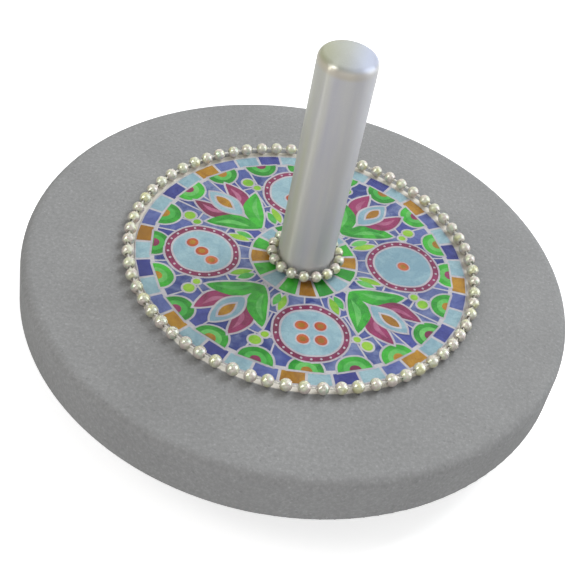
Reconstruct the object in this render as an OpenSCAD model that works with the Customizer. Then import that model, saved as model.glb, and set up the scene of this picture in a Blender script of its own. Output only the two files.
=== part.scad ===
// Spinning top with a heavy round disc, a turned spindle through its centre, a round
// printed face under a clear film, and two strings of small pearl beads: one round the
// print's edge and one round the foot of the handle.
// The spin axis is Z, and the point that the top spins on touches z = 0.

/* [Disc] */
// Diameter of the disc
disc_d = 88; // [76:1:120]
// Thickness of the disc
disc_t = 8.5; // [5:0.5:14]
// Radius of the disc's rounded upper edge
disc_upper_round = 1.6; // [0.6:0.1:2.2]
// Radius of the disc's rounded lower edge
disc_lower_round = 1; // [0.4:0.1:2]
// Gap round the tenon in the disc's bore
bore_clearance = 0.05; // [0.02:0.01:0.1]

/* [Spindle] */
// Diameter of the handle
handle_d = 9; // [7.5:0.25:12]
// Height of the handle from its shoulder to the top of its crown
handle_h = 40; // [25:1:60]
// Radius of the rounding between the handle's side and its crown
handle_round = 1.3; // [0.5:0.1:2.5]
// Radius of the shallow crown that closes the handle
crown_r = 14; // [8:1:40]
// Diameter of the tenon that passes through the disc
tenon_d = 7; // [4:0.25:7]
// Depth of the relief turned above the shoulder
relief_depth = 0.2; // [0.16:0.02:0.4]
// Height of the relief above the collar beads
relief_margin = 0.1; // [0.05:0.05:0.5]
// Length of the point below the disc
point_h = 7.5; // [5:0.5:10]
// Radius of the ball at the end of the point
point_ball_r = 1; // [0.5:0.1:1.5]
// Length of tenon left straight below the disc
stub_h = 0.6; // [0.2:0.1:1.5]

/* [Printed face] */
// Diameter of the printed face and its film
print_d = 54; // [40:1:64]
// Thickness of the printed sheet
print_t = 0.3; // [0.15:0.05:0.6]
// Thickness of the clear film
film_t = 0.2; // [0.1:0.05:0.5]
// Gap round the handle in the print and the film
print_clearance = 0.15; // [0.05:0.05:0.5]

/* [Rim beads] */
// Diameter of a bead round the print
rim_bead_d = 2; // [1.4:0.1:2.6]
// Least stretch of thread between two rim beads
rim_bead_gap = 0.66; // [0.2:0.02:1.5]
// Diameter of the thread through the rim beads
rim_thread_d = 0.4; // [0.2:0.05:0.5]
// Gap round the thread in a rim bead's bore
rim_bore_clearance = 0.1; // [0.06:0.02:0.2]

/* [Collar beads] */
// Diameter of a bead round the handle's foot
collar_bead_d = 1.8; // [1.2:0.1:2.4]
// Least stretch of thread between two collar beads
collar_bead_gap = 0.2; // [0.1:0.05:0.8]
// Diameter of the thread through the collar beads
collar_thread_d = 0.3; // [0.2:0.05:0.45]
// Gap round the thread in a collar bead's bore
collar_bore_clearance = 0.17; // [0.16:0.01:0.25]

/* [Fits] */
// Gap between a bead and what it lies on or beside
bead_clearance = 0.05; // [0.02:0.01:0.2]

/* [Hidden] */
$fn = 96;

// Overrun of a cut past the face that it leaves
overrun = 1;

// Heights of the faces that the pieces rest on
disc_top = point_h + disc_t;
print_top = disc_top + print_t;
film_top = print_top + film_t;

// Radii of the spindle and the printed face
handle_r = handle_d / 2;
tenon_r = tenon_d / 2;
print_r = print_d / 2;
print_hole_r = handle_r + print_clearance;

// Crown: its centre, and the centre of the rounding that runs into it without a corner
handle_top = disc_top + handle_h;
crown_z = handle_top - crown_r;
round_x = handle_r - handle_round;
round_z = crown_z + sqrt(pow(crown_r - handle_round, 2) - pow(round_x, 2));

// Collar string: it lies on the film, against the handle
collar_r = handle_r + collar_bead_d / 2 + bead_clearance;
collar_z = film_top + bead_clearance + collar_bead_d / 2;
collar_bore_d = collar_thread_d + 2 * collar_bore_clearance;
collar_count = floor(2 * PI * collar_r / (collar_bead_d + collar_bead_gap));

// Rim string: it lies on the disc, against the edge of the print
rim_r = print_r + rim_bead_d / 2 + bead_clearance;
rim_z = disc_top + bead_clearance + rim_bead_d / 2;
rim_bore_d = rim_thread_d + 2 * rim_bore_clearance;
rim_count = floor(2 * PI * rim_r / (rim_bead_d + rim_bead_gap));

// Relief: it ends just above the collar beads, so that the grip above is clear of them
relief_top = collar_z + collar_bead_d / 2 + relief_margin;

// Point: a cone from the tenon's lower edge that touches the ball on a tangent
cone_top = point_h - stub_h;
ball_to_edge = norm([tenon_r, cone_top - point_ball_r]);
tangent_angle = atan2(cone_top - point_ball_r, tenon_r) - acos(point_ball_r / ball_to_edge);
tangent_x = point_ball_r * cos(tangent_angle);
tangent_z = point_ball_r * (1 + sin(tangent_angle));

// Half outline of the disc, with its bore left to the cut
module disc_outline() {
    disc_r = disc_d / 2;
    upper_z = disc_top - disc_upper_round;
    lower_z = point_h + disc_lower_round;
    translate([0, point_h]) square([disc_r - disc_lower_round, disc_t / 2]);
    translate([0, lower_z]) square([disc_r, upper_z - lower_z]);
    translate([0, lower_z]) square([disc_r - disc_upper_round, disc_top - lower_z]);
    translate([disc_r - disc_upper_round, upper_z]) circle(r = disc_upper_round);
    translate([disc_r - disc_lower_round, lower_z]) circle(r = disc_lower_round);
}

// The heavy disc, bored for the tenon
module disc() {
    color("#939393")
    difference() {
        rotate_extrude() disc_outline();
        translate([0, 0, point_h - overrun])
            cylinder(r = tenon_r + bore_clearance, h = disc_t + 2 * overrun);
    }
}

// Sector of the crown's circle between the axis and the rounding's tangent
module crown_sector() {
    reach = 1 + overrun / crown_r;
    rim_share = reach * crown_r / (crown_r - handle_round);
    intersection() {
        translate([0, crown_z]) circle(r = crown_r);
        translate([0, crown_z]) polygon([
            [0, 0],
            [round_x * rim_share, (round_z - crown_z) * rim_share],
            [0, crown_r * reach]
        ]);
    }
}

// Half outline of the handle: relief, grip, rounding and crown
module handle_outline() {
    translate([0, disc_top]) square([handle_r - relief_depth, relief_top - disc_top]);
    translate([0, relief_top]) square([handle_r, round_z - relief_top]);
    translate([round_x, round_z]) circle(r = handle_round);
    crown_sector();
}

// Half outline of the tenon and the point below it
module point_outline() {
    translate([0, cone_top]) square([tenon_r, disc_top - cone_top]);
    polygon([
        [0, point_ball_r],
        [tangent_x, tangent_z],
        [tenon_r, cone_top],
        [0, cone_top]
    ]);
    intersection() {
        translate([0, point_ball_r]) circle(r = point_ball_r);
        square([point_ball_r, 2 * point_ball_r]);
    }
}

// The spindle: handle, tenon and point turned in one piece
module spindle() {
    color("#c9c6c6")
    rotate_extrude() {
        handle_outline();
        point_outline();
    }
}

// Flat ring round the handle, as wide as the print
module face_ring(base, thickness) {
    translate([0, 0, base])
    difference() {
        cylinder(r = print_r, h = thickness);
        translate([0, 0, -overrun]) cylinder(r = print_hole_r, h = thickness + 2 * overrun);
    }
}

// The printed sheet on the disc
module printed_face() {
    color("#8fb4d0") face_ring(disc_top, print_t);
}

// The clear film on the printed sheet
module clear_film() {
    color("#f2f6f8", 0.3) face_ring(print_top, film_t);
}

// One bead, bored along Z
module bead(diameter, bore_d) {
    difference() {
        sphere(d = diameter);
        cylinder(d = bore_d, h = diameter + 2 * overrun, center = true);
    }
}

// Beads in a ring, each with its bore along the thread
module bead_ring(count, ring_r, height, diameter, bore_d) {
    for (i = [0 : count - 1])
        rotate(360 * i / count)
        translate([ring_r, 0, height])
        rotate([90, 0, 0])
        bead(diameter, bore_d);
}

// Closed loop of thread through the middle of a ring of beads
module thread_ring(ring_r, height, diameter) {
    translate([0, 0, height])
    rotate_extrude()
    translate([ring_r, 0]) circle(d = diameter);
}

// The string of pearls round the print
module rim_beads() {
    color("#efe9da") bead_ring(rim_count, rim_r, rim_z, rim_bead_d, rim_bore_d);
}

module rim_thread() {
    color("#f4f1ea") thread_ring(rim_r, rim_z, rim_thread_d);
}

// The string of pearls round the foot of the handle
module collar_beads() {
    color("#efe9da")
    bead_ring(collar_count, collar_r, collar_z, collar_bead_d, collar_bore_d);
}

module collar_thread() {
    color("#f4f1ea") thread_ring(collar_r, collar_z, collar_thread_d);
}

disc();
spindle();
printed_face();
clear_film();
rim_beads();
rim_thread();
collar_beads();
collar_thread();
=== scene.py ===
import math
import random

import bmesh
import bpy
from mathutils import Matrix, Vector, noise


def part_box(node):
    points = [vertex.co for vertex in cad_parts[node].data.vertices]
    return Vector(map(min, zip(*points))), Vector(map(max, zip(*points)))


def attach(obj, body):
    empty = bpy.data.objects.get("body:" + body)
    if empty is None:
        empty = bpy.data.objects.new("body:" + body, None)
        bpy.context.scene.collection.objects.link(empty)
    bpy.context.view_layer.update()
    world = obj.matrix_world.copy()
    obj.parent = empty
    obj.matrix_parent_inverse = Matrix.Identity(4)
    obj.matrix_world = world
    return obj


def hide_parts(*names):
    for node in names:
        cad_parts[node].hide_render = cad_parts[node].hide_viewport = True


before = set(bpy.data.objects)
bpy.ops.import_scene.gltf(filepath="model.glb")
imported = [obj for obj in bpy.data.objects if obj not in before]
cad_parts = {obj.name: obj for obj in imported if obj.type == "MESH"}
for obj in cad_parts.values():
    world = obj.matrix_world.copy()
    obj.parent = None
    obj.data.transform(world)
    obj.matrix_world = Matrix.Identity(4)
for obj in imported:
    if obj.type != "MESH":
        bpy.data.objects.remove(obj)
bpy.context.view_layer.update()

MM = 0.001
TAU = 2 * math.pi

# Heights that the CAD nodes give, in metres
DISC_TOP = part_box("disc")[1].z
PRINT_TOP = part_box("printed_face")[1].z
FILM_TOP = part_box("clear_film")[1].z
HANDLE_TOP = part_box("spindle")[1].z

# Radii of the handle, the print and its hole, in millimetres
HANDLE_RADIUS = 4.5
PRINT_RADIUS = 27.0
HOLE_RADIUS = 4.65

# The strings of beads, in millimetres
RIM_STRING = {"count": 66, "radius": 28.05, "bead": 2.0, "bore": 0.6, "thread": 0.4}
COLLAR_STRING = {"count": 17, "radius": 5.45, "bead": 1.8, "bore": 0.64, "thread": 0.3}

# Gap under each bead, in metres
BEAD_CLEARANCE = 0.05 * MM

# Fixed seeds, so that beads, tones and the waver of drawn outlines are the same in each run
random.seed(7)
noise.seed_set(7)


# Colours

def linear(level):
    """One channel as the eye reads it, 0 to 255, in the renderer's linear values."""
    level /= 255
    return level / 12.92 if level <= 0.04045 else ((level + 0.055) / 1.055) ** 2.4


def srgb(red, green, blue):
    return (linear(red), linear(green), linear(blue), 1.0)


def grey(level):
    return srgb(level, level, level)


# Light and dark wash of each ink
INKS = {
    "pale_blue": (srgb(146, 175, 184), srgb(120, 153, 168)),
    "periwinkle": (srgb(94, 106, 160), srgb(58, 70, 136)),
    "wash": (srgb(106, 118, 158), srgb(34, 50, 120)),
    "royal_blue": (srgb(66, 74, 146), srgb(38, 44, 120)),
    "green": (srgb(54, 170, 42), srgb(15, 124, 28)),
    "mint": (srgb(102, 180, 92), srgb(54, 156, 60)),
    "lime": (srgb(144, 188, 52), srgb(104, 162, 28)),
    "magenta": (srgb(142, 40, 92), srgb(108, 20, 64)),
    "pink": (srgb(172, 102, 134), srgb(148, 68, 106)),
    "gold": (srgb(174, 126, 16), srgb(140, 92, 6)),
    "orange": (srgb(190, 102, 62), srgb(164, 68, 30)),
    "line": (srgb(186, 181, 186), srgb(168, 162, 171)),
}


# Materials

class Nodes:
    """The node tree of a material or world, emptied, with short calls for the nodes used here."""

    def __init__(self, owner, output, place):
        self.owner = owner
        owner.use_nodes = True
        self.tree = owner.node_tree
        self.tree.nodes.clear()
        self.surface = self.node(output).inputs["Surface"]
        self.place = self.node("ShaderNodeTexCoord").outputs[place]

    def feed(self, socket, value):
        """Links value to the socket if it comes from a node, or else sets it there."""
        if isinstance(value, bpy.types.NodeSocket):
            self.tree.links.new(value, socket)
        else:
            socket.default_value = value

    def node(self, kind, inputs=None, **settings):
        """A new node; inputs gives values or sources by the socket's name or number."""
        node = self.tree.nodes.new(kind)
        for name, value in settings.items():
            setattr(node, name, value)
        for name, value in (inputs or {}).items():
            self.feed(node.inputs[name], value)
        return node

    def shader(self, color, roughness, **more):
        """The material's Principled surface; more names other sockets, with _ for each space."""
        inputs = {name.replace("_", " "): value for name, value in more.items()}
        inputs.update({"Base Color": color, "Roughness": roughness})
        shader = self.node("ShaderNodeBsdfPrincipled", inputs)
        self.feed(self.surface, shader.outputs["BSDF"])
        return shader

    def blend_shaders(self, factor, first, second):
        """Makes the surface of two shaders, with factor as the share of the second."""
        blend = self.node("ShaderNodeMixShader", {0: factor, 1: first.outputs[0], 2: second.outputs[0]})
        self.feed(self.surface, blend.outputs["Shader"])

    def split(self, vector):
        """The X, Y and Z outputs of a vector."""
        return self.node("ShaderNodeSeparateXYZ", {"Vector": vector}).outputs

    def noise(self, size, detail=2.0, roughness=0.5, distortion=0.0, place=None):
        """Noise whose blotches are about size millimetres across."""
        return self.node("ShaderNodeTexNoise", {
            "Vector": self.place if place is None else place,
            "Scale": 1 / (size * MM),
            "Detail": detail,
            "Roughness": roughness,
            "Distortion": distortion,
        }).outputs["Fac"]

    def spots(self, size):
        """Distance to the nearest of many grains about size millimetres apart."""
        inputs = {"Vector": self.place, "Scale": 1 / (size * MM)}
        return self.node("ShaderNodeTexVoronoi", inputs).outputs["Distance"]

    def ramp(self, source, *stops):
        """Colours at the places given along source."""
        node = self.node("ShaderNodeValToRGB", {"Fac": source})
        elements = node.color_ramp.elements
        while len(elements) < len(stops):
            elements.new(0.5)
        for element, (place, color) in zip(elements, stops):
            element.position = place
            element.color = color
        return node.outputs["Color"]

    def spread(self, source, low, high, to_low=0.0, to_high=1.0):
        """Source from low to high, spread over to_low to to_high and held there beyond them."""
        return self.node("ShaderNodeMapRange", {
            "Value": source,
            "From Min": low,
            "From Max": high,
            "To Min": to_low,
            "To Max": to_high,
        }).outputs["Result"]

    def mix(self, factor, first, second, blend="MIX"):
        """Two colours mixed; sockets 0, 6 and 7 are the factor and the colours."""
        inputs = {0: factor, 6: first, 7: second}
        return self.node("ShaderNodeMix", inputs, data_type="RGBA", blend_type=blend).outputs[2]

    def math(self, operation, first, second):
        return self.node("ShaderNodeMath", {0: first, 1: second}, operation=operation).outputs[0]

    def bump(self, height, depth, shader, strength=1.0, socket="Normal"):
        """Raises the surface by up to depth millimetres where height is 1."""
        inputs = {"Strength": strength, "Distance": depth * MM, "Height": height}
        self.feed(shader.inputs[socket], self.node("ShaderNodeBump", inputs).outputs["Normal"])


def new_material(name):
    return Nodes(bpy.data.materials.new(name), "ShaderNodeOutputMaterial", "Object")


def dried_glue(n):
    """Where dried glue shows on the disc's top: from under the print to just past the rim thread."""
    parts = n.split(n.place)
    flat = n.node("ShaderNodeCombineXYZ", {"X": parts["X"], "Y": parts["Y"]})
    from_axis = n.node("ShaderNodeVectorMath", {0: flat.outputs["Vector"]}, operation="LENGTH")
    waver = n.math("MULTIPLY", n.noise(1.1), 0.5 * MM)
    reach = n.math("ADD", from_axis.outputs["Value"], waver)
    ring = RIM_STRING["radius"]
    inside = n.spread(reach, (ring + 0.5) * MM, (ring + 0.3) * MM)
    on_top = n.spread(parts["Z"], DISC_TOP - 0.3 * MM, DISC_TOP - 0.1 * MM)
    return n.math("MULTIPLY", inside, on_top)


def stone():
    """Cast stone: neutral grey, matt, with sandy grains, pinholes darkened with painted shade, and faint
    cloudy patches.

    Dried glue, pale and smoother, shows on its top between the print and the rim beads.
    """
    n = new_material("grey_stone")
    clouds = n.ramp(n.noise(11, detail=3), (0.35, grey(154)), (0.65, grey(160)))
    sand = n.ramp(n.noise(0.55, detail=4, roughness=0.75),
                  (0.3, srgb(88, 88, 90)), (0.5, grey(128)), (0.7, grey(170)))
    flecks = n.spread(n.spots(0.9), 0.08, 0.24, 0.2, 0.0)
    pits_and_their_painted_shade = n.spread(n.spots(1.3), 0.05, 0.17, 1.0, 0.0)
    glue = dried_glue(n)
    color = n.mix(0.42, clouds, sand, blend="OVERLAY")
    color = n.mix(flecks, color, grey(186))
    # Painted shade: the pinholes are darkened in colour, besides being sunk by the bump below
    color = n.mix(n.math("MULTIPLY", pits_and_their_painted_shade, 0.3), color, srgb(108, 108, 110))
    color = n.mix(glue, color, srgb(222, 216, 206))
    shader = n.shader(color, n.spread(glue, 0.0, 1.0, 0.8, 0.4), Specular_IOR_Level=0.3)
    grains = n.noise(0.4, detail=4, roughness=0.7)
    n.bump(n.math("SUBTRACT", grains, pits_and_their_painted_shade), 0.05, shader, strength=0.8)
    return n.owner


def pearl_lacquer():
    """Pearl-grey lacquer with fine flakes and faint runs, on the turned spindle.

    It has a painted warm reflection down one side and a painted tan reflection band under the crown. The
    crown is polished, and a painted reflection makes it warmer on one side and bluer on the other.
    """
    n = new_material("pearl_lacquer")
    parts = n.split(n.place)
    across = n.spread(parts["X"], -HANDLE_RADIUS * MM, HANDLE_RADIUS * MM)
    up_crown = n.spread(parts["Z"], HANDLE_TOP - 2.6 * MM, HANDLE_TOP - 0.6 * MM)

    drawn_out = n.node("ShaderNodeMapping", {"Vector": n.place, "Scale": (1, 1, 0.08)})
    runs = n.noise(1.6, place=drawn_out.outputs["Vector"])
    side = n.ramp(runs, (0.3, srgb(178, 177, 184)), (0.7, srgb(188, 187, 185)))

    # Painted reflection: a warm tint down the handle's left side, which stands for what that side mirrors
    painted_reflection_side = n.ramp(across, (0.14, grey(255)), (0.36, grey(0)))
    painted_warm_reflection = n.math("MULTIPLY", painted_reflection_side, n.spread(runs, 0.35, 0.65, 0.5, 1.0))
    side = n.mix(painted_warm_reflection, side, srgb(182, 183, 166))

    # Painted reflection: a tan band just under the crown, weaker towards the right side
    painted_tan_band = n.ramp(up_crown, (0.1, grey(0)), (0.4, grey(215)))
    painted_tan_band = n.math("MULTIPLY", painted_tan_band, n.spread(across, 0.9, 0.6, 0.2, 1.0))
    side = n.mix(painted_tan_band, side, srgb(184, 175, 156))

    # The crown's colour with a painted reflection: warmer on the left and bluer on the right
    crown_with_painted_reflection = n.ramp(across, (0.15, srgb(156, 157, 138)), (0.5, srgb(162, 164, 161)),
                 (0.8, srgb(166, 172, 190)))
    color = n.mix(n.spread(up_crown, 0.72, 0.96), side, crown_with_painted_reflection)
    flakes = n.spread(n.spots(0.22), 0.0, 0.35, 0.2, 0.0)
    color = n.mix(flakes, color, srgb(214, 212, 212))

    round_axis = n.node("ShaderNodeTangent", direction_type="RADIAL", axis="Z")
    shader = n.shader(color, 0.32, Metallic=0.1, Anisotropic=1.0, Anisotropic_Rotation=0.25,
                      Coat_Weight=n.spread(up_crown, 0.45, 0.75, 0.3, 0.9), Coat_Roughness=0.16,
                      Tangent=round_axis.outputs["Tangent"])
    n.bump(n.noise(1.8), 0.01, shader, socket="Coat Normal")
    return n.owner


def pearl():
    """Ivory pearl with a pink, gold and green lustre under a hard gloss."""
    n = new_material("ivory_pearl")
    tints = n.ramp(n.noise(1.5, detail=1), (0.3, srgb(194, 190, 147)), (0.45, srgb(195, 195, 174)),
                   (0.58, srgb(196, 180, 173)), (0.7, srgb(178, 192, 168)))
    shader = n.shader(tints, 0.32, Metallic=0.12, Coat_Weight=1.0, Coat_Roughness=0.06,
                      Coat_IOR=1.8, Thin_Film_Thickness=380.0, Thin_Film_IOR=1.4)
    n.bump(n.noise(0.6), 0.01, shader)
    return n.owner


def cotton():
    """White cotton thread with fine fibres."""
    n = new_material("white_thread")
    fibres = n.noise(0.08, detail=3, roughness=0.7)
    color = n.ramp(fibres, (0.3, srgb(206, 202, 192)), (0.7, srgb(240, 238, 232)))
    shader = n.shader(color, 0.85, Sheen_Weight=0.4)
    n.bump(fibres, 0.02, shader)
    return n.owner


def film():
    """Clear film: the print shows through it unbent, and its face mirrors what is above."""
    n = new_material("clear_film")
    clear = n.node("ShaderNodeBsdfTransparent", {"Color": (0.985, 0.99, 0.99, 1)})
    gloss = n.node("ShaderNodeBsdfAnisotropic", {"Roughness": 0.1})
    n.bump(n.noise(6, detail=1), 0.01, gloss)
    fresnel = n.node("ShaderNodeFresnel", {"IOR": 1.6})
    inside = n.node("ShaderNodeNewGeometry").outputs["Backfacing"]
    mirrored = n.math("MULTIPLY", fresnel.outputs["Fac"], n.math("SUBTRACT", 1.0, inside))
    n.blend_shaders(mirrored, clear, gloss)
    return n.owner


def ink(name, light, dark):
    """Printed colour: brushed washes from light to dark, with a tone of its own in each shape."""
    n = new_material(name)
    tone = n.node("ShaderNodeAttribute", attribute_name="tone").outputs["Fac"]
    wash = n.noise(2.4, detail=3, roughness=0.6, distortion=0.8)
    blot = n.math("ADD", n.math("MULTIPLY", wash, 1.7), n.math("MULTIPLY", tone, 0.5))
    color = n.ramp(n.math("SUBTRACT", blot, 0.6), (0.18, light), (0.75, dark))
    specks = n.ramp(n.noise(0.22), (0.3, grey(184)), (0.7, grey(207)))
    n.shader(n.mix(0.8, color, specks, blend="OVERLAY"), 0.5)
    return n.owner


def dress(node, material):
    """Gives a CAD node's object its finish."""
    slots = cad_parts[node].data.materials
    slots.clear()
    slots.append(material)


# Meshes

def add_piece(name, mesh, material):
    piece = bpy.data.objects.new(name, mesh)
    bpy.context.scene.collection.objects.link(piece)
    mesh.materials.append(material)
    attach(piece, "root")
    return piece


def circle(sides):
    """Angles of a circle's corners."""
    return [TAU * k / sides for k in range(sides)]


def closed_tube(rings):
    """Points and faces of a tube through rings of points, with the last ring joined to the first."""
    verts = [point for ring in rings for point in ring]
    width = len(rings[0])
    faces = []
    for i in range(len(rings)):
        a, b = i * width, (i + 1) % len(rings) * width
        for j in range(width):
            k = (j + 1) % width
            faces.append((a + j, a + k, b + k, b + j))
    return verts, faces


def joined(name, parts, smooth=True):
    """One mesh from several lists of points and faces."""
    verts, faces = [], []
    for points, polygons in parts:
        start = len(verts)
        verts += points
        faces += [tuple(start + i for i in polygon) for polygon in polygons]
    mesh = bpy.data.meshes.new(name)
    mesh.from_pydata(verts, [], faces)
    mesh.update()
    mesh.polygons.foreach_set("use_smooth", [smooth] * len(mesh.polygons))
    return mesh


# Strings of beads

# Least share of its full size that a bead has, and the most that its bore turns and tilts
LEAST_SIZE = 0.965
SWAY = 0.12
TILT = 0.05

# Sides of a bead and of one ply of thread
BEAD_SIDES = 28
PLY_SIDES = 8


def bead_profile(bead_radius, bore_radius, steps=18):
    """Radius and place along the bore of a bead's outline, round through its mouths and its bore."""
    mouth = math.asin(bore_radius / bead_radius)
    lip = 0.06 * bead_radius
    first = mouth + lip / bead_radius
    points = []
    for i in range(steps + 1):
        angle = first + (math.pi - 2 * first) * i / steps
        points.append((bead_radius * math.sin(angle), bead_radius * math.cos(angle)))
    end = bead_radius * math.cos(mouth) - lip
    lip_radius, lip_end = bore_radius + lip * 0.3, end + lip * 0.75
    return points + [(lip_radius, -lip_end), (bore_radius, -end), (bore_radius, end), (lip_radius, lip_end)]


def bead(center, axis, bead_radius, bore_radius):
    """Points and faces of one bored bead with its bore along axis."""
    turn = axis.to_track_quat("Z", "Y").to_matrix()
    rings = [[center + turn @ Vector((radius * math.cos(a), radius * math.sin(a), along))
              for a in circle(BEAD_SIDES)]
             for radius, along in bead_profile(bead_radius, bore_radius)]
    return closed_tube(rings)


def bead_height(string, base):
    return base + BEAD_CLEARANCE + string["bead"] / 2 * MM


def string_of_beads(name, string, base, slack, node):
    """Bored beads on a ring, each a little out of line and of size, as they are strung by hand.

    They stray by up to slack millimetres, and less inward, where the print or the handle stops them.
    """
    parts = []
    for i in range(string["count"]):
        size = random.uniform(LEAST_SIZE, 1.0)
        angle = TAU * i / string["count"] + random.uniform(-1, 1) * slack / string["radius"]
        radius = string["radius"] * MM + random.uniform(-0.5, 1) * 0.4 * slack * MM
        center = Vector((radius * math.cos(angle), radius * math.sin(angle), bead_height(string, base)))
        center.z -= (1 - size) * string["bead"] / 2 * MM
        along = angle + random.uniform(-1, 1) * SWAY
        axis = Vector((-math.sin(along), math.cos(along), random.uniform(-1, 1) * TILT)).normalized()
        parts.append(bead(center, axis, size * string["bead"] / 2 * MM, string["bore"] / 2 * MM))
    piece = add_piece(name, joined(name, parts), PEARL)
    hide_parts(node)
    return piece


def twisted_thread(name, string, base, node):
    """Two plies twisted round each other, in a closed ring through the beads."""
    plies = 2
    turns = 3 * string["count"]
    steps = 12 * turns
    ply_radius = string["thread"] / 4 * MM
    # A little less than the radius, so that the plies press into each other
    lean = ply_radius * 0.92
    up = Vector((0, 0, 1))
    parts = []
    for ply in range(plies):
        rings = []
        for i in range(steps):
            angle = TAU * i / steps
            twist = turns * angle + TAU * ply / plies
            out = Vector((math.cos(angle), math.sin(angle), 0))
            reach = string["radius"] * MM + lean * math.cos(twist)
            center = out * reach + up * (bead_height(string, base) + lean * math.sin(twist))
            rings.append([center + ply_radius * (out * math.cos(a) + up * math.sin(a))
                          for a in circle(PLY_SIDES)])
        parts.append(closed_tube(rings))
    piece = add_piece(name, joined(name, parts), COTTON)
    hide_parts(node)


# Outlines on the printed face, in millimetres from the spin axis

# Width of a drawn line, and how far an unsteady hand strays and over what length
LINE = 0.34
WOBBLE = 0.22
WOBBLE_LENGTH = 3.2


def at(radius, degrees):
    """The point at this distance from the axis and this angle round it."""
    angle = math.radians(degrees)
    return Vector((radius * math.cos(angle), radius * math.sin(angle)))


def left_of(way):
    """The direction a quarter turn to the left of way."""
    return Vector((-way.y, way.x))


def tile(inner, outer, start, end):
    """A stretch of ring between two radii and two angles."""
    steps = max(2, int((end - start) / 3))
    angles = [start + (end - start) * i / steps for i in range(steps + 1)]
    return [at(outer, a) for a in angles] + [at(inner, a) for a in reversed(angles)]


def round_shape(center, radius, steps=40):
    return [center + at(radius, 360 * i / steps) for i in range(steps)]


def scallop(radius, degrees, size, steps=14):
    """A half-round that hangs inward from a circle about the axis."""
    middle = at(radius, degrees)
    first = degrees + 90
    return [middle + at(size, first + 180 * i / steps) for i in range(steps + 1)]


def leaf(base, tip, width, bulge=0.5, bend=0.0, steps=16):
    """A leaf from base to tip: width across, widest at bulge along it, bent sideways by bend."""
    along = tip - base
    side = left_of(along).normalized()
    skew = math.log(0.5) / math.log(bulge)
    left, right = [], []
    for i in range(steps + 1):
        t = i / steps
        half = width / 2 * math.sin(math.pi * t ** skew) ** 0.8 if 0 < t < 1 else 0
        curve = bend * math.sin(math.pi * t)
        left.append(base + along * t + side * (curve + half))
        right.append(base + along * t + side * (curve - half))
    return left + right[-2:0:-1]


def stroke(start, end, width):
    """A straight pen stroke of even width with square ends."""
    side = left_of((end - start).normalized()) * width / 2
    return [start + side, end + side, end - side, start - side]


def grown(outline, margin):
    """The outline moved outward by margin."""
    count = len(outline)
    area = sum(outline[i].x * outline[(i + 1) % count].y - outline[(i + 1) % count].x * outline[i].y
               for i in range(count))
    sign = 1 if area > 0 else -1
    moved = []
    for i in range(count):
        before, point, after = outline[i - 1], outline[i], outline[(i + 1) % count]
        first = (point - before).normalized()
        second = (after - point).normalized()
        way = first + second
        way = way.normalized() if way.length > 0.01 else first
        reach = margin / max(0.5, way.dot(second))
        moved.append(point + Vector((way.y, -way.x)) * reach * sign)
    return moved


def hand_drawn(point):
    """The same point where an unsteady hand would put it."""
    shift = noise.noise_vector(Vector((point.x / WOBBLE_LENGTH, point.y / WOBBLE_LENGTH, 0)))
    return Vector((point.x + WOBBLE * shift.x, point.y + WOBBLE * shift.y))


# The print

# Inks lie in layers on a sheet that is lower than the print's full height by as much
INK_LAYERS = 13
INK_STEP = 0.01 * MM
INK_FLOOR = PRINT_TOP - INK_LAYERS * INK_STEP

# Share of a step that each plate of ink reaches down into the layer below its own
INK_OVERLAP = 0.5

# Share of a step between the tops of plates drawn one after the other, in rounds of five
TOP_OFFSET = 0.04
TOP_ROUND = 5

# Places of the pips that tell the four quarters apart, as on dice
PIPS = (
    ((0, 0),),
    ((-1.3, 1.3), (1.3, -1.3)),
    ((-1.9, 1.5), (0, 0), (1.9, -1.5)),
    ((-1.4, 1.4), (1.4, 1.4), (-1.4, -1.4), (1.4, -1.4)),
)


def ink_mesh(name, shapes):
    """Closed plates of one colour, with each shape's tone kept."""
    work = bmesh.new()
    tone_layer = work.verts.layers.float.new("tone")
    for number, (layer, outline, tone) in enumerate(shapes):
        low = INK_FLOOR + (layer - INK_OVERLAP) * INK_STEP
        high = INK_FLOOR + (layer + 1) * INK_STEP - (number % TOP_ROUND) * TOP_OFFSET * INK_STEP
        points = [hand_drawn(p) * MM for p in outline]
        tops = [work.verts.new((p.x, p.y, high)) for p in points]
        feet = [work.verts.new((p.x, p.y, low)) for p in points]
        for vert in tops + feet:
            vert[tone_layer] = tone
        caps = [work.faces.new(tops), work.faces.new(feet[::-1])]
        for i in range(len(points)):
            j = (i + 1) % len(points)
            work.faces.new((tops[j], tops[i], feet[i], feet[j]))
        bmesh.ops.triangulate(work, faces=caps)
    bmesh.ops.recalc_face_normals(work, faces=work.faces)
    mesh = bpy.data.meshes.new(name)
    work.to_mesh(mesh)
    work.free()
    return mesh


class Print:
    """Collects the print's coloured shapes, then makes one thin raised mesh for each colour."""

    def __init__(self):
        self.shapes = {}

    def shape(self, color, layer, outline):
        self.shapes.setdefault(color, []).append((layer, outline, random.random()))

    def outlined(self, color, layer, outline, line=LINE):
        """A shape with a drawn line round it, which lies a layer below."""
        self.shape("line", layer, grown(outline, line))
        self.shape(color, layer + 1, outline)

    def build(self):
        for color, shapes in self.shapes.items():
            name = "ink_" + color
            add_piece(name, ink_mesh(name, shapes), ink(name, *INKS[color]))


def border(art):
    """The outer band: forty tiles, with a gold one in every five."""
    colors = ("gold", "pale_blue", "royal_blue", "pale_blue", "periwinkle")
    inner, outer = 24.6, 26.75
    count = 40
    step = 360 / count
    gap = 0.5
    for i in range(count):
        art.shape(colors[i % len(colors)], 1, tile(inner, outer, i * step + gap, (i + 1) * step - gap))


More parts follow.
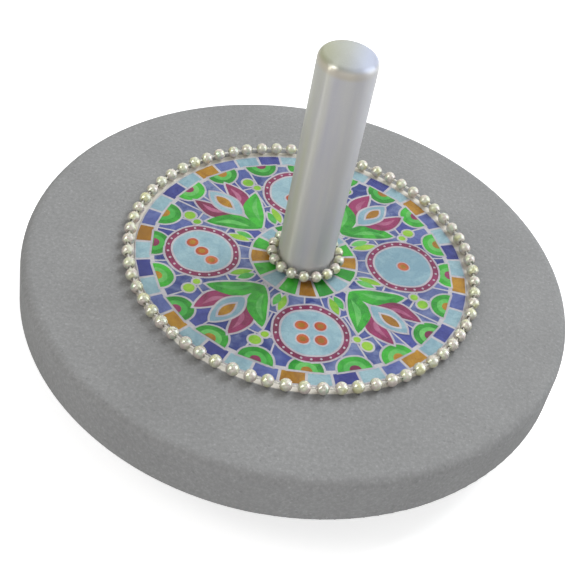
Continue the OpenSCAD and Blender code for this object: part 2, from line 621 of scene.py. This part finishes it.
def ground(art):
    """The field behind the motifs: three rings of tiles in mottled blues, with pale joints."""
    colors = ("wash", "periwinkle", "wash", "royal_blue", "wash")
    rows = ((8.9, 13.8, 22), (13.8, 19.0, 30), (19.0, 24.2, 38))
    joint = 0.3
    for row, (inner, outer, count) in enumerate(rows):
        step = 360 / count
        gap = math.degrees(joint / (inner + outer))
        for i in range(count):
            start = (i + 0.5 * row) * step
            color = colors[(2 * i + row) % len(colors)]
            art.shape(color, 1, tile(inner, outer - joint, start + gap, start + step - gap))


def heart_ring(art):
    """A ring of tiles about the handle."""
    colors = ("gold", "green", "pale_blue", "green")
    inner, outer = 5.0, 8.5
    count = 16
    step = 360 / count
    gap = 2.0
    for i in range(count):
        art.shape(colors[i % len(colors)], 3, tile(inner, outer, i * step + gap, (i + 1) * step - gap))


def scallops(art):
    """Half-rounds that hang inward from the border."""
    radius = 24.2
    count = 20
    for i in range(count):
        turn = (i + 0.5) * 360 / count
        art.outlined("green", 3, scallop(radius, turn, 2.7))
        art.shape("mint", 5, scallop(radius, turn, 1.75))
        art.shape(("magenta", "gold")[i % 2], 6, scallop(radius, turn, 0.9))


def tulip(art, degrees):
    """A tulip that grows from the middle: stem, two broad leaves, petals and berries beside it."""
    foot, neck, lip = at(9.2, degrees), at(14.2, degrees), at(21.4, degrees)
    out = at(1, degrees)
    art.outlined("green", 3, stroke(foot, neck, 0.8))
    for way in (-1, 1):
        side = left_of(out) * way
        base = foot + out * 0.4
        tip = foot + out * 7.2 + side * 5.9
        art.outlined("green", 5, leaf(base, tip, 3.3, bend=-0.9 * way))
        art.shape("mint", 7, leaf(base.lerp(tip, 0.2), base.lerp(tip, 0.85), 0.9, bend=-0.66 * way))
        petal_tip = lip + side * 3.6
        art.outlined("magenta", 5, leaf(neck, petal_tip, 3.0, bend=1.2 * way))
        art.shape("pink", 7, leaf(neck + out * 1.7 + side, petal_tip - out * 1.4 - side * 0.35, 0.8,
                                  bend=0.8 * way))
        for along, across, radius in ((9.9, 7.0, 0.9), (8.0, 7.2, 0.6)):
            berry = round_shape(foot + out * along + side * across, radius, steps=20)
            art.outlined("lime", 5, berry, line=0.32)
    art.outlined("pale_blue", 8, leaf(neck - out * 0.3, lip, 3.6))
    art.outlined("gold", 10, leaf(neck + out * 1.8, lip - out * 1.6, 1.6, bulge=0.55))


def sprigs(art, degrees):
    """Small leaves that grow from the middle ring on each side of a tulip."""
    for turn, color, reach in ((-23, "lime", 13.0), (-17.5, "mint", 12.2),
                               (17.5, "mint", 12.2), (23, "lime", 13.0)):
        tip = at(reach, degrees + turn * 1.04)
        art.outlined(color, 3, leaf(at(9.3, degrees + turn), tip, 1.25), line=0.3)


def medallion(art, degrees, pips):
    """A pale round with a dotted magenta rim and pips."""
    center = at(16.4, degrees)
    dots = 22
    art.outlined("magenta", 5, round_shape(center, 5.9))
    for i in range(dots):
        art.shape("line", 7, round_shape(center + at(5.45, 360 * i / dots), 0.2, steps=12))
    art.shape("line", 7, round_shape(center, 5.0))
    art.shape("pale_blue", 8, round_shape(center, 4.65))
    out = at(1, degrees)
    for across, along in PIPS[pips - 1]:
        place = center + left_of(out) * across + out * along
        art.shape("line", 9, round_shape(place, 1.2, steps=24))
        art.shape("orange", 10, round_shape(place, 0.95, steps=24))
        art.shape("gold", 11, round_shape(place, 0.5, steps=16))


def printed_sheet():
    """The sheet that the inks lie on: a flat ring of card with bevelled outer edges."""
    low, high = DISC_TOP, INK_FLOOR
    outer, inner = PRINT_RADIUS * MM, HOLE_RADIUS * MM
    bevel = 0.06 * MM
    sides = 240
    outline = [(inner, low), (outer - bevel, low), (outer, low + bevel),
               (outer, high - bevel), (outer - bevel, high), (inner, high)]
    rings = [[Vector((r * math.cos(a), r * math.sin(a), z)) for r, z in outline]
             for a in circle(sides)]
    mesh = joined("printed_sheet", [closed_tube(rings)], smooth=False)
    sheet = add_piece("printed_sheet", mesh, ink("ink_sheet", *INKS["line"]))
    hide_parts("printed_face")


def printed_art():
    """The whole design, with a medallion in each quarter and a tulip between each two."""
    first = 12.0
    art = Print()
    border(art)
    ground(art)
    heart_ring(art)
    scallops(art)
    for i in range(4):
        turn = first + 90 * i
        tulip(art, turn + 45)
        sprigs(art, turn + 45)
        medallion(art, turn, i + 1)
    art.build()


# Stage, lights and camera

# Middle of the disc's top: lamps turn to it, and the camera is placed from it
MIDDLE = Vector((0, 0, DISC_TOP))

# Strength of the sky for matt surfaces, and of its two sides as mirrors see it
SKY = 0.48
MIRROR_DIM = 0.28
MIRROR_BRIGHT = 0.6

# Tint of the studio's left side as mirrors see it
MIRROR_LEFT = (1.05, 1.08, 0.5, 1)

# Colour of the floor, and light that it gives off to the camera so that it shows white
FLOOR_COLOR = (0.82, 0.82, 0.82, 1)
FLOOR_LIFT = 0.62

# Name, place and size in metres, watts and colour of each lamp, and the surfaces that see it
LAMPS = (
    ("left_card", (-0.45, -0.26, 0.15), (0.07, 0.20), 0.6, (1.0, 0.98, 0.88), "mirrors"),
    ("right_window", (0.28, 0.30, 0.46), (0.34, 0.34), 2.55, (0.94, 0.98, 1.0), "matt"),
    ("back_window", (0.14, 0.40, 0.36), (0.20, 0.24), 0.6, (0.96, 0.98, 1.0), "matt"),
    ("front_fill", (0.05, -0.55, 0.22), (0.60, 0.25), 0.7, (1.0, 1.0, 1.0), "all"),
    ("right_card", (0.48, 0.12, 0.30), (0.40, 0.56), 2.2, (0.86, 0.93, 1.0), "mirrors"),
    ("high_card", (-0.38, -0.28, 0.50), (0.17, 0.32), 2.2, (1.0, 0.98, 0.90), "mirrors"),
    ("left_soft", (-0.42, -0.16, 0.42), (0.24, 0.24), 0.7, (1.0, 0.98, 0.95), "all"),
)

# The camera and the point it turns to, in millimetres from the middle of the disc's top
CAMERA_PLACE = (0, -140.6, 124.4)
CAMERA_AIM = (8.1, 15.2, 0)
CAMERA_ROLL = math.radians(14.4)
CAMERA_LENS = 72.5

# Shares of the picture's width that its middle lies off the lens, to the left and down
CAMERA_SHIFT = (-0.13, -0.13)


def world_light():
    """Even studio light, white to the camera. Mirrors see it dim in front and yellowish on the left."""
    world = bpy.data.worlds.new("studio")
    bpy.context.scene.world = world
    n = Nodes(world, "ShaderNodeOutputWorld", "Generated")
    ray = n.node("ShaderNodeLightPath").outputs
    # Directions run from -1 to 1 along each axis: X to the right, Y to the back
    way = n.split(n.place)
    mirrored = n.spread(way["Y"], -0.7, 0.4, MIRROR_DIM, MIRROR_BRIGHT)
    level = n.node("ShaderNodeMix", {"Factor": ray["Is Glossy Ray"], "A": SKY, "B": mirrored})
    left = n.math("MULTIPLY", n.spread(way["X"], 0.1, -0.8), ray["Is Glossy Ray"])
    tint = n.mix(left, (1, 1, 1, 1), MIRROR_LEFT)
    soft = n.node("ShaderNodeBackground", {"Color": tint, "Strength": level.outputs["Result"]})
    white = n.node("ShaderNodeBackground", {"Color": (1, 1, 1, 1)})
    n.blend_shaders(ray["Is Camera Ray"], soft, white)


def lamp(name, place, size, watts, color, seen_by):
    """A soft box turned to the disc."""
    light = bpy.data.lights.new(name, "AREA")
    light.shape = "RECTANGLE"
    light.size, light.size_y = size
    light.energy = watts
    light.color = color
    box = bpy.data.objects.new(name, light)
    bpy.context.scene.collection.objects.link(box)
    box.location = place
    box.rotation_mode = "QUATERNION"
    box.rotation_quaternion = (MIDDLE - Vector(place)).to_track_quat("-Z", "Y")
    box.visible_diffuse = seen_by != "mirrors"
    box.visible_glossy = seen_by != "matt"
    return box


def lights():
    """Puts up the lamps and returns the cards, which make the lights on lacquer and pearls."""
    world_light()
    boxes = [lamp(*values) for values in LAMPS]
    return [box for box in boxes if not box.visible_diffuse]


def show_cards_only_to(pieces, cards):
    """Lets these pieces alone mirror the cards, so that the flat film has no glare at low angles."""
    group = bpy.data.collections.new("pearly_pieces")
    for piece in pieces:
        group.objects.link(piece)
    for card in cards:
        card.light_linking.receiver_collection = group


def floor():
    """A pale floor at the height that the point stands on. It shows white and keeps the shadow."""
    half = 3.0
    corners = [(-half, -half, 0), (half, -half, 0), (half, half, 0), (-half, half, 0)]
    mesh = bpy.data.meshes.new("floor")
    mesh.from_pydata(corners, [], [(0, 1, 2, 3)])
    obj = bpy.data.objects.new("floor", mesh)
    bpy.context.scene.collection.objects.link(obj)
    n = new_material("floor_white")
    matt = n.node("ShaderNodeBsdfDiffuse", {"Color": FLOOR_COLOR})
    ray = n.node("ShaderNodeLightPath").outputs
    lift = n.node("ShaderNodeEmission", {"Strength": n.math("MULTIPLY", ray["Is Camera Ray"], FLOOR_LIFT)})
    both = n.node("ShaderNodeAddShader", {0: matt.outputs["BSDF"], 1: lift.outputs["Emission"]})
    n.feed(n.surface, both.outputs["Shader"])
    mesh.materials.append(n.owner)


def camera():
    """The photograph's view: from above the front edge, rolled."""
    place = Vector(CAMERA_PLACE) * MM + MIDDLE
    aim = Vector(CAMERA_AIM) * MM + MIDDLE
    data = bpy.data.cameras.new("camera")
    data.sensor_width = 36
    data.lens = CAMERA_LENS
    data.shift_x, data.shift_y = CAMERA_SHIFT
    data.clip_start = 0.01
    cam = bpy.data.objects.new("camera", data)
    bpy.context.scene.collection.objects.link(cam)
    turn = (aim - place).to_track_quat("-Z", "Y").to_matrix() @ Matrix.Rotation(CAMERA_ROLL, 3, "Z")
    cam.matrix_world = Matrix.Translation(place) @ turn.to_4x4()
    bpy.context.scene.camera = cam


# The scene

bpy.context.scene.view_settings.view_transform = "Standard"
PEARL = pearl()
COTTON = cotton()
camera()
cards = lights()
floor()

dress("disc", stone())
dress("spindle", pearl_lacquer())
dress("clear_film", film())
printed_sheet()
printed_art()
rim_pearls = string_of_beads("rim_pearls", RIM_STRING, DISC_TOP, 0.1, "rim_beads")
twisted_thread("rim_cord", RIM_STRING, DISC_TOP, "rim_thread")
collar_pearls = string_of_beads("collar_pearls", COLLAR_STRING, FILM_TOP, 0.03, "collar_beads")
twisted_thread("collar_cord", COLLAR_STRING, FILM_TOP, "collar_thread")
show_cards_only_to((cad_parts["spindle"], rim_pearls, collar_pearls), cards)
